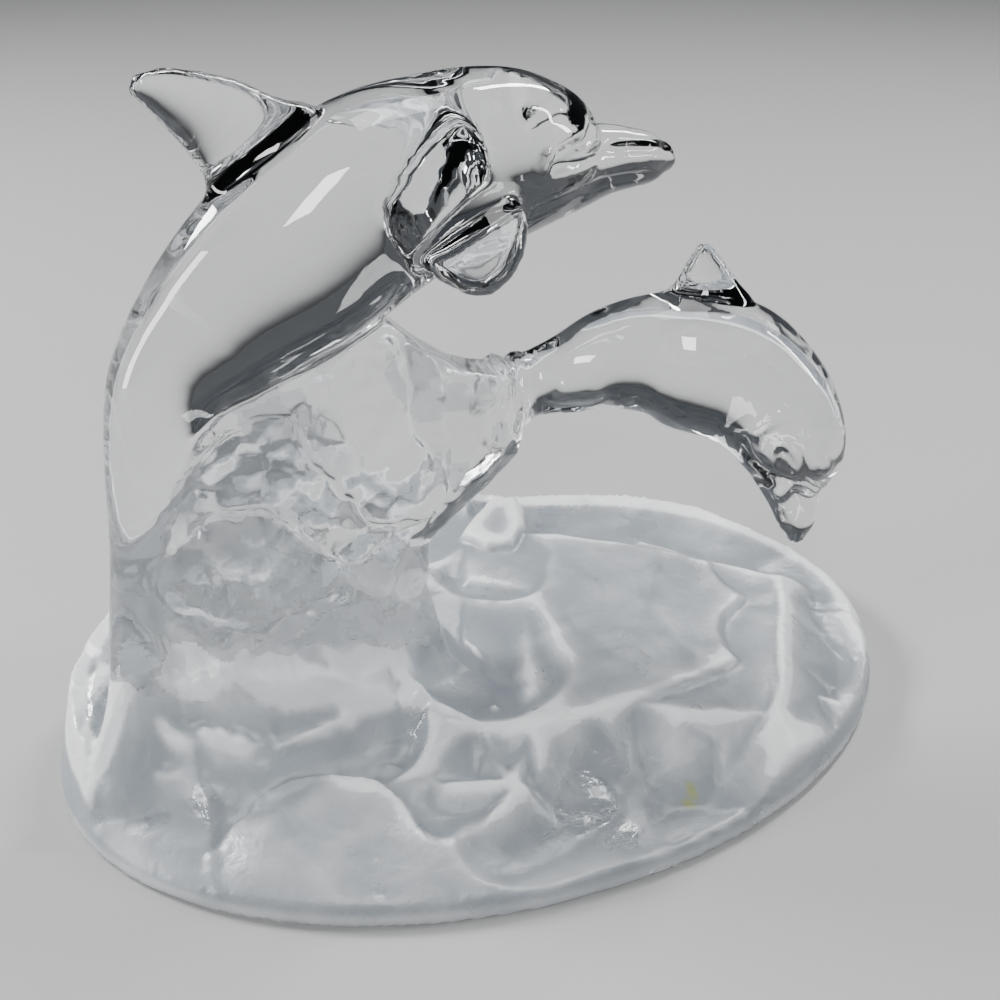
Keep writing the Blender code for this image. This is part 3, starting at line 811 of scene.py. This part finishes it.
def away_from_dolphins(points):
    """How far points lie outside the dolphins, in millimetres; below 0 inside them."""
    places = points * (1, 1, PARTS_HIGH / FIGURE_HEIGHT)
    least = np.full(len(points), np.inf)
    forms = (ADULT_BODY, ADULT_BEAK, ADULT_FIN, CALF_BODY, CALF_BEAK, CALF_FIN)
    sweeps = [make_sweep(rows) for rows in forms] + [flipper_sweep(mirror) for mirror in (1, -1)]
    for sweep in sweeps:
        first = sweep[:, CENTRE].min(0) - DOLPHIN_REACH
        last = sweep[:, CENTRE].max(0) + DOLPHIN_REACH
        near = np.flatnonzero(((places > first) & (places < last)).all(1))
        least[near] = np.minimum(least[near], sweep_field(places[near], sweep))
    return least


def mesh_points(mesh):
    """The places of a mesh's points, one row each."""
    points = np.empty(len(mesh.vertices) * 3)
    mesh.vertices.foreach_get("co", points)
    return points.reshape(-1, 3)


def polish(mesh, share, pulls):
    """Even out the lattice's ripple where share is 1, without shrinking the form."""
    points = mesh_points(mesh)
    ends = np.empty(len(mesh.edges) * 2, int)
    mesh.edges.foreach_get("vertices", ends)
    first, second = ends.reshape(-1, 2).T
    count = np.bincount(ends, minlength=len(points))[:, None]
    for pull in pulls:
        total = np.empty(points.shape)
        for axis in range(3):
            total[:, axis] = np.bincount(first, points[second, axis], len(points))
            total[:, axis] += np.bincount(second, points[first, axis], len(points))
        points = points + pull * share[:, None] * (total / count - points)
    mesh.vertices.foreach_set("co", points.ravel())
    mesh.update()


def stroke_height(points, line, width, height):
    """How far a stroke lifts each point."""
    line = np.array(line, float)
    line[:, 2] *= FIGURE_HEIGHT / PARTS_HIGH
    reach = STROKE_REACH * width
    near = np.flatnonzero(((points > line.min(0) - reach) & (points < line.max(0) + reach)).all(1))
    lift = np.zeros(len(points))
    best = np.full(len(near), np.inf)
    for start, end in zip(line, line[1:]):
        run = end - start
        share = np.clip((points[near] - start) @ run / (run @ run), 0, 1)
        gap = np.linalg.norm(points[near] - start - share[:, None] * run, axis=1)
        best = np.minimum(best, gap)
    lift[near] = height * np.exp(-(best / width) ** 2)
    return lift


def collar_height(points, at, reach, width, height):
    """How far a collar round the calf's root lifts each point."""
    root_x, _, root_z = CALF_BODY[0][:3]
    middle = root_z + COLLAR_CLIMB * (at - root_x)
    z = points[:, 2] * PARTS_HIGH / FIGURE_HEIGHT
    around = np.hypot(points[:, 1], z - middle)
    along = points[:, 0] - at - COLLAR_LEAN * (z - middle)
    fade = ease(-around, (-reach - COLLAR_FADE[0], -reach - COLLAR_FADE[1]))
    return height * np.exp(-(along / width) ** 2) * fade


def work_strokes(mesh):
    """Press grooves and bulges into the skin along its normals."""
    points = mesh_points(mesh)
    normals = np.empty(len(mesh.vertices) * 3)
    mesh.vertex_normals.foreach_get("vector", normals)
    lift = np.zeros(len(points))
    for line, width, height in ADULT_STROKES:
        for mirror in (1, -1):
            lift += stroke_height(points, [(x, mirror * y, z) for x, y, z in line], width, height)
    for line, width, height in CALF_STROKES:
        lift += stroke_height(points, line, width, height)
    for collar in COLLARS:
        lift += collar_height(points, *collar)
    mesh.vertices.foreach_set("co", (points + lift[:, None] * normals.reshape(-1, 3)).ravel())


def plain_underside(points, faces):
    """Put one fan of triangles in place of the lattice under the flat base."""
    under = (points[:, 2] == 0) & (edge_distance(points[:, 0], points[:, 1]) > UNDERSIDE_RING)
    under = under.tolist()
    kept = [face for face in faces if not all(under[corner] for corner in face)]
    edges = set()
    for face in faces:
        if all(under[corner] for corner in face):
            edges.update(zip(face, face[1:] + face[:1]))
    centre = len(points)
    kept += [[a, b, centre] for a, b in sorted(edges) if (b, a) not in edges]
    used = np.unique(np.concatenate(kept))
    place = np.zeros(centre + 1, int)
    place[used] = np.arange(len(used))
    points = np.vstack([points, [0, 0, 0]])[used]
    return points, [place[face].tolist() for face in kept]


def skin_mesh(name):
    """Closed mesh on the field's zero surface, in metres."""
    field, low = figure_field()
    grid = openvdb.FloatGrid(BAND)
    grid.copyFromArray(np.clip(field, -BAND, BAND).astype(np.float32))
    points, triangles, quads = grid.convertToPolygons(isovalue=0.0, adaptivity=0.0)
    points = points * CELL + low
    points[points[:, 2] < FLAT_BELOW, 2] = 0
    points, faces = plain_underside(points, triangles.tolist() + quads.tolist())
    mesh = bpy.data.meshes.new(name)
    mesh.from_pydata(points.tolist(), [], faces)
    mesh.validate()
    rock = ease(away_from_dolphins(points), DOLPHIN_EDGE)
    wall = 1 - ease(edge_distance(points[:, 0], points[:, 1]), WALL_EDGE)
    wall = wall * ease(points[:, 2], WALL_FOOT)
    share = np.where(points[:, 2] < POLISHED_FROM, wall, 1 - rock)
    polish(mesh, share, POLISH_PULLS)
    work_strokes(mesh)
    polish(mesh, share, LAST_PULLS)
    mesh.transform(Matrix.Scale(MILLIMETRE, 4))
    mesh.shade_smooth()
    return mesh


def frost_share(points):
    """How frosted the glass is: 0 on the polished dolphins, some on the upper rock, 1 on the base."""
    x, y, z = points.T
    edge = FROST_HEIGHT - FROST_FALL[0] * (x - FROST_FROM[0]) - FROST_FALL[1] * (y - FROST_FROM[1])
    edge = np.clip(edge, *FROST_LIMITS)
    edge = np.where(x < TAIL_FROM, TAIL_FROST, edge)
    edge = add_noise(edge, x, y + z, FROST_NOISE)
    share = ease(-z, (-edge - FROST_FADE, -edge + FROST_FADE))
    above_wall = ease(z, (RIM_HEIGHT + RIM_FADE[0], RIM_HEIGHT + RIM_FADE[1]))
    share = share * (RIM_FROST + (1 - RIM_FROST) * above_wall)
    rock = ease(away_from_dolphins(points), DOLPHIN_EDGE) * ease(z, (RIM_HEIGHT, RIM_HEIGHT + ROCK_FADE))
    cloud = ease(add_noise(0, x, z, CLOUD_NOISE), CLOUD_SPAN)
    return np.maximum(share, rock * (ROCK_CLOUD[0] + (ROCK_CLOUD[1] - ROCK_CLOUD[0]) * cloud))


def stain_share(points):
    """Small marks on the base, drawn out into ragged spots."""
    x, y, z = points.T
    share = np.zeros(len(points))
    for spot_x, spot_y, radius in STAINS:
        gap = np.hypot(x - spot_x, (y - spot_y) * STAIN_DEPTH + STAIN_LEAN * (x - spot_x))
        gap = gap + STAIN_CORE * radius * add_noise(0, x, y, STAIN_NOISE)
        share = np.maximum(share, 1 - ease(gap, (STAIN_CORE * radius, radius)))
    return np.where(z < STAINED_BELOW, share, 0)


def crest_highlight_share(points):
    """How far each place stands out from the base around it, between 0 and 1: a painted highlight that
    whitens the edges, with painted shade in the hollows.
    """
    grid_x, grid_y = (np.arange(-half, half + 1) for half in CREST_GRID)
    top = base_top(*np.meshgrid(grid_x, grid_y, indexing="ij"))
    around = top.copy()
    for _ in range(CREST_ROUNDS):
        beside = around[:-2, 1:-1] + around[2:, 1:-1] + around[1:-1, :-2] + around[1:-1, 2:]
        around[1:-1, 1:-1] = (beside + 2 * around[1:-1, 1:-1]) / 6
    u, v = points[:, 0] + CREST_GRID[0], points[:, 1] + CREST_GRID[1]
    i, j = u.astype(int), v.astype(int)
    share = ease(read_grid(top - around, i, j, u - i, v - j), CREST_SPAN)
    # Painted shade: darker towards the table at the front.
    front = ease(-points[:, 1], FRONT_SHADE_ACROSS)
    share = share * (1 - FRONT_SHADE * front * ease(-points[:, 2], FRONT_SHADE_BELOW))
    # Painted highlight: high places and the rim's wall stay white.
    share = np.maximum(share, MOUND_HIGHLIGHT * ease(points[:, 2], MOUND_HIGHLIGHT_SPAN))
    return np.maximum(share, RIM_HIGHLIGHT * ease(-points[:, 2] + RIM_HEIGHT, RIM_HIGHLIGHT_SPAN))


def add_node(material, kind, settings=None, sources=None):
    """Add a node with its settings and link the given sources to its inputs."""
    nodes, links = material.node_tree.nodes, material.node_tree.links
    node = nodes.new(kind)
    for key, value in (settings or {}).items():
        if isinstance(key, int) or key in node.inputs:
            node.inputs[key].default_value = value
        else:
            setattr(node, key, value)
    for key, source in (sources or {}).items():
        links.new(source, node.inputs[key])
    return node


def stored_value(material, name):
    """A value stored with the mesh's points."""
    return add_node(material, "ShaderNodeAttribute", {"attribute_name": name}).outputs["Fac"]


def noise(material, place, settings):
    """Noise at each place of the glass."""
    return add_node(material, "ShaderNodeTexNoise", settings, {"Vector": place}).outputs["Fac"]


def spread(material, value, settings):
    """A value mapped to another range."""
    return add_node(material, "ShaderNodeMapRange", settings, {"Value": value}).outputs["Result"]


def combined(material, settings, sources):
    """The result of one sum or product."""
    return add_node(material, "ShaderNodeMath", settings, sources).outputs["Value"]


def frosted_color(material, cloud):
    """Painted shade greyer in the hollows and painted highlight white on the crests, with cloudy patches and
    the stain.
    """
    # The crest attribute is the painted highlight and shade mask.
    crest = stored_value(material, "crest")
    patches = combined(material, {"operation": "MULTIPLY_ADD", 1: PATCH_GAIN, 2: PATCH_OFFSET}, {0: cloud})
    share = combined(material, {"operation": "ADD", "use_clamp": True}, {0: crest, 1: patches})
    tone = add_node(material, "ShaderNodeValToRGB", None, {"Fac": share})
    tone.color_ramp.elements[0].color = HOLLOW_SHADE_COLOR
    tone.color_ramp.elements[1].color = CREST_HIGHLIGHT_COLOR
    stained = add_node(
        material,
        "ShaderNodeMix",
        {"data_type": "RGBA", "B": STAIN_COLOR},
        {"Factor": stored_value(material, "stain"), "A": tone.outputs["Color"]},
    )
    return stained.outputs["Result"]


def frosted_roughness(material, rough, cloud, place):
    """Uneven roughness, with small patches that are nearly polished and glint."""
    patchy = spread(material, cloud, {"To Min": 0.75, "To Max": 1.2})
    uneven = combined(material, {"operation": "MULTIPLY"}, {0: rough, 1: patchy})
    glint = noise(material, place, {"Scale": 75, "Detail": 2})
    dull = spread(material, glint, {"From Min": 0.58, "From Max": 0.66, "To Min": 1.0, "To Max": 0.25})
    return combined(material, {"operation": "MULTIPLY"}, {0: uneven, 1: dull})


def glass(name, transmitted, roughest, frosted):
    """Lead crystal, its finish following the frost attribute; frosted glass scatters part of its light."""
    material = bpy.data.materials.new(name)
    material.use_nodes = True
    shader = material.node_tree.nodes["Principled BSDF"]
    shader.inputs["IOR"].default_value = CRYSTAL_IOR
    shader.inputs["Metallic"].default_value = 0.0
    shader.inputs["Transmission Weight"].default_value = transmitted

    links = material.node_tree.links
    place = add_node(material, "ShaderNodeTexCoord").outputs["Object"]
    frost = stored_value(material, "frost")
    rough = spread(material, frost, {"To Min": CLEAREST, "To Max": roughest})
    if frosted:
        cloud = noise(material, place, {"Scale": 55, "Detail": 6, "Roughness": 0.65, "Distortion": 1.2})
        links.new(frosted_color(material, cloud), shader.inputs["Base Color"])
        links.new(frosted_roughness(material, rough, cloud, place), shader.inputs["Roughness"])
    else:
        shader.inputs["Base Color"].default_value = CLEAR_COLOR
        links.new(rough, shader.inputs["Roughness"])

    grain = noise(material, place, {"Scale": 700, "Detail": 3})
    strength = combined(material, {"operation": "MULTIPLY", 1: GRAIN_STRENGTH}, {0: frost})
    fine = {"Height": grain, "Strength": strength}
    bump = add_node(material, "ShaderNodeBump", {"Distance": GRAIN_HEIGHT}, fine)
    links.new(bump.outputs["Normal"], shader.inputs["Normal"])
    return material


def dress(mesh):
    """Store the finish of each point with its painted highlight and shade, and give the faces that are
    mostly frosted the frosted glass, the whitest where the painted highlight is strongest.
    """
    points = mesh_points(mesh) * PER_METRE
    frost = frost_share(points)
    crest = crest_highlight_share(points)
    # The crest attribute holds painted highlight on the crests and painted shade in the hollows.
    for name, values in (("frost", frost), ("crest", crest), ("stain", stain_share(points))):
        mesh.attributes.new(name, "FLOAT", "POINT").data.foreach_set("value", values)
    for finish in FINISHES:
        mesh.materials.append(glass(*finish))
    levels = []
    for face in mesh.polygons:
        corners = list(face.vertices)
        level = int(np.searchsorted(FINISH_STEPS, frost[corners].mean()))
        # Faces with the strongest painted crest highlight get the whitest finish.
        highlighted = level == len(FINISH_STEPS) and crest[corners].mean() > HIGHLIGHT_CREST
        levels.append(level + int(highlighted))
    mesh.polygons.foreach_set("material_index", levels)


def floor_material():
    """Plain pale grey."""
    material = bpy.data.materials.new("floor")
    material.use_nodes = True
    shader = material.node_tree.nodes["Principled BSDF"]
    shader.inputs["Base Color"].default_value = FLOOR_COLOR
    shader.inputs["Roughness"].default_value = FLOOR_ROUGHNESS
    return material


def make_floor():
    """One square, just below the underside, so that the glass doesn't share its surface."""
    signs = [(-1, -1), (1, -1), (1, 1), (-1, 1)]
    corners = [(FLOOR_HALF * x, FLOOR_HALF * y, FLOOR_HEIGHT) for x, y in signs]
    mesh = bpy.data.meshes.new("floor")
    mesh.from_pydata(corners, [], [(0, 1, 2, 3)])
    mesh.materials.append(floor_material())
    floor = bpy.data.objects.new("floor", mesh)
    bpy.context.collection.objects.link(floor)
    return floor


def soft_light(name, place, aim, size, power):
    """A rectangular lamp turned towards a point."""
    data = bpy.data.lights.new(name, "AREA")
    data.shape = "RECTANGLE"
    data.size, data.size_y = size
    data.energy = power
    lamp = bpy.data.objects.new(name, data)
    lamp.location = place
    lamp.rotation_euler = (Vector(aim) - Vector(place)).to_track_quat("-Z", "Y").to_euler()
    bpy.context.collection.objects.link(lamp)


def make_camera():
    """The photograph's view: from the front left, looking down."""
    data = bpy.data.cameras.new("camera")
    data.lens = LENS
    data.sensor_width = SENSOR
    data.clip_start = NEAREST_SEEN
    camera = bpy.data.objects.new("camera", data)
    camera.location = CAMERA_PLACE
    camera.rotation_euler = (math.radians(CAMERA_TILT), 0, math.radians(CAMERA_TURN))
    bpy.context.collection.objects.link(camera)
    bpy.context.scene.camera = camera


def make_world():
    """A dim, even sky, which gives the glass its dark edges."""
    world = bpy.data.worlds.new("studio")
    bpy.context.scene.world = world
    world.use_nodes = True
    background = world.node_tree.nodes["Background"]
    background.inputs["Color"].default_value = WORLD_COLOR
    background.inputs["Strength"].default_value = WORLD_STRENGTH


mesh = skin_mesh("crystal_dolphins")
dress(mesh)
figurine = bpy.data.objects.new("crystal_dolphins", mesh)
bpy.context.collection.objects.link(figurine)
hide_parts("dolphin_figurine")
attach(figurine, "root")

floor = make_floor()
for light in LIGHTS:
    soft_light(*light)
make_world()
make_camera()
